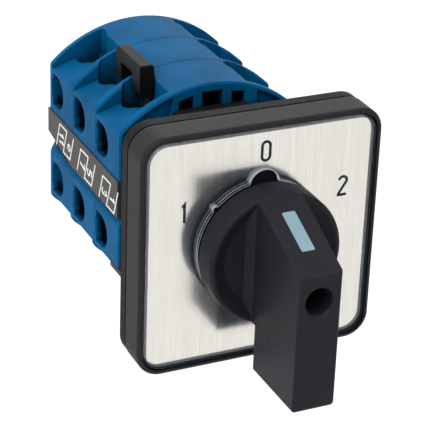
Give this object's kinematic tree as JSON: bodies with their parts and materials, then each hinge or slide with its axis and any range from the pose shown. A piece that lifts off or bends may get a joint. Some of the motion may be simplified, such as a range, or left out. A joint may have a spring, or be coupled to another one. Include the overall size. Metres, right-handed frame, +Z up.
{
  "type": "rotary cam changeover switch",
  "caption": "Panel-mounted rotary cam changeover switch with a square front plate, pointer handle and stacked screw-terminal contact decks.",
  "frame": {"origin": "on the turning axis, in the plane where the front plate's rear frame meets the panel (centre of the panel screw pattern)", "axes": "+Y along the turning axis from the front plate towards the contact decks (the handle points to -Y); +X to the right seen from the front; +Z up, towards position 0"},
  "size_m": [0.048, 0.0875, 0.0482],
  "materials": {
    "black_frame": "fine satin moulded black",
    "clear_cover": "clear polished plastic",
    "brushed_aluminium": "brushed vertically, clear anodised",
    "zinc_steel": "zinc plated",
    "black_latch": "satin moulded black",
    "black_handle": "fine satin moulded black",
    "pale_blue_insert": "satin pale blue",
    "blue_moulding": "satin mid blue",
    "strip_black": "matt black, white printed frames and numbers",
    "brass_contact": "bright",
    "link_insulation": "satin black",
    "cam_plastic": "natural moulded",
    "carrier_plastic": "natural moulded",
    "copper_bridge": "bright copper with silver pads",
    "spring_steel": "bright wire"
  },
  "bodies": {
    "base": {"front_bezel": "black_frame", "rear_frame": "black_frame", "clear_cover": "clear_cover", "legend_plate": "brushed_aluminium", "frame_screws": "zinc_steel", "latch_plate": "black_latch", "latch_screws": "zinc_steel", "latch_housing": "black_latch", "deck_housing_1": "blue_moulding", "deck_housing_2": "blue_moulding", "deck_housing_3": "blue_moulding", "end_plate": "blue_moulding", "tie_screws": "zinc_steel", "marking_strip_left": "strip_black", "marking_strip_right": "strip_black", "fixed_contacts_1": "brass_contact", "fixed_contacts_2": "brass_contact", "fixed_contacts_3": "brass_contact", "terminal_screws": "zinc_steel", "clamp_plates": "zinc_steel", "link_cover": "link_insulation", "link_metal": "brass_contact"},
    "rotor": {"handle": "black_handle", "indicator": "pale_blue_insert", "handle_screw": "zinc_steel", "shaft": "zinc_steel", "shaft_sleeve": "black_latch", "star_wheel": "zinc_steel", "stop_disc": "black_latch", "cam_1": "cam_plastic", "cam_2": "cam_plastic", "cam_3": "cam_plastic"},
    "carrier_1_upper": {"contact_carrier_1_upper": "carrier_plastic", "contact_bridge_1_upper": "copper_bridge", "contact_spring_1_upper": "spring_steel"},
    "carrier_1_lower": {"contact_carrier_1_lower": "carrier_plastic", "contact_bridge_1_lower": "copper_bridge", "contact_spring_1_lower": "spring_steel"},
    "carrier_2_upper": {"contact_carrier_2_upper": "carrier_plastic", "contact_bridge_2_upper": "copper_bridge", "contact_spring_2_upper": "spring_steel"},
    "carrier_2_lower": {"contact_carrier_2_lower": "carrier_plastic", "contact_bridge_2_lower": "copper_bridge", "contact_spring_2_lower": "spring_steel"},
    "carrier_3_upper": {"contact_carrier_3_upper": "carrier_plastic", "contact_bridge_3_upper": "copper_bridge", "contact_spring_3_upper": "spring_steel"},
    "carrier_3_lower": {"contact_carrier_3_lower": "carrier_plastic", "contact_bridge_3_lower": "copper_bridge", "contact_spring_3_lower": "spring_steel"},
    "detent_right": {"detent_plunger_right": "carrier_plastic", "detent_roller_right": "zinc_steel", "detent_spring_right": "spring_steel"},
    "detent_left": {"detent_plunger_left": "carrier_plastic", "detent_roller_left": "zinc_steel", "detent_spring_left": "spring_steel"}
  },
  "joints": [
    {"name": "handle_turn", "type": "hinge", "parent": "base", "child": "rotor", "pos_m": [0, 0, 0], "axis": [0, 1, 0], "range_deg": [-60, 60]},
    {"name": "contact_slide_1_upper", "type": "slide", "parent": "base", "child": "carrier_1_upper", "axis": [0, 0, 1], "range_m": [-0.00151, 0.00151], "deforming": ["contact_spring_1_upper"]},
    {"name": "contact_slide_1_lower", "type": "slide", "parent": "base", "child": "carrier_1_lower", "axis": [0, 0, 1], "range_m": [-0.00151, 0.00151], "deforming": ["contact_spring_1_lower"]},
    {"name": "contact_slide_2_upper", "type": "slide", "parent": "base", "child": "carrier_2_upper", "axis": [0, 0, 1], "range_m": [-0.00151, 0.00151], "deforming": ["contact_spring_2_upper"]},
    {"name": "contact_slide_2_lower", "type": "slide", "parent": "base", "child": "carrier_2_lower", "axis": [0, 0, 1], "range_m": [-0.00151, 0.00151], "deforming": ["contact_spring_2_lower"]},
    {"name": "contact_slide_3_upper", "type": "slide", "parent": "base", "child": "carrier_3_upper", "axis": [0, 0, 1], "range_m": [-0.00151, 0.00151], "deforming": ["contact_spring_3_upper"]},
    {"name": "contact_slide_3_lower", "type": "slide", "parent": "base", "child": "carrier_3_lower", "axis": [0, 0, 1], "range_m": [-0.00151, 0.00151], "deforming": ["contact_spring_3_lower"]},
    {"name": "detent_slide_right", "type": "slide", "parent": "base", "child": "detent_right", "axis": [-1, 0, 0], "range_m": [0, 0.00115], "stiffness_N_per_m": 500, "springref_m": 0.002, "deforming": ["detent_spring_right"]},
    {"name": "detent_slide_left", "type": "slide", "parent": "base", "child": "detent_left", "axis": [1, 0, 0], "range_m": [0, 0.00115], "stiffness_N_per_m": 500, "springref_m": 0.002, "deforming": ["detent_spring_left"]}
  ],
  "couplings": [
    {"joint": "contact_slide_1_upper", "follows": "handle_turn", "m_per_rad": -0.0014324},
    {"joint": "contact_slide_1_lower", "follows": "handle_turn", "m_per_rad": -0.0014324},
    {"joint": "contact_slide_2_upper", "follows": "handle_turn", "m_per_rad": -0.0014324},
    {"joint": "contact_slide_2_lower", "follows": "handle_turn", "m_per_rad": -0.0014324},
    {"joint": "contact_slide_3_upper", "follows": "handle_turn", "m_per_rad": -0.0014324},
    {"joint": "contact_slide_3_lower", "follows": "handle_turn", "m_per_rad": -0.0014324}
  ]
}
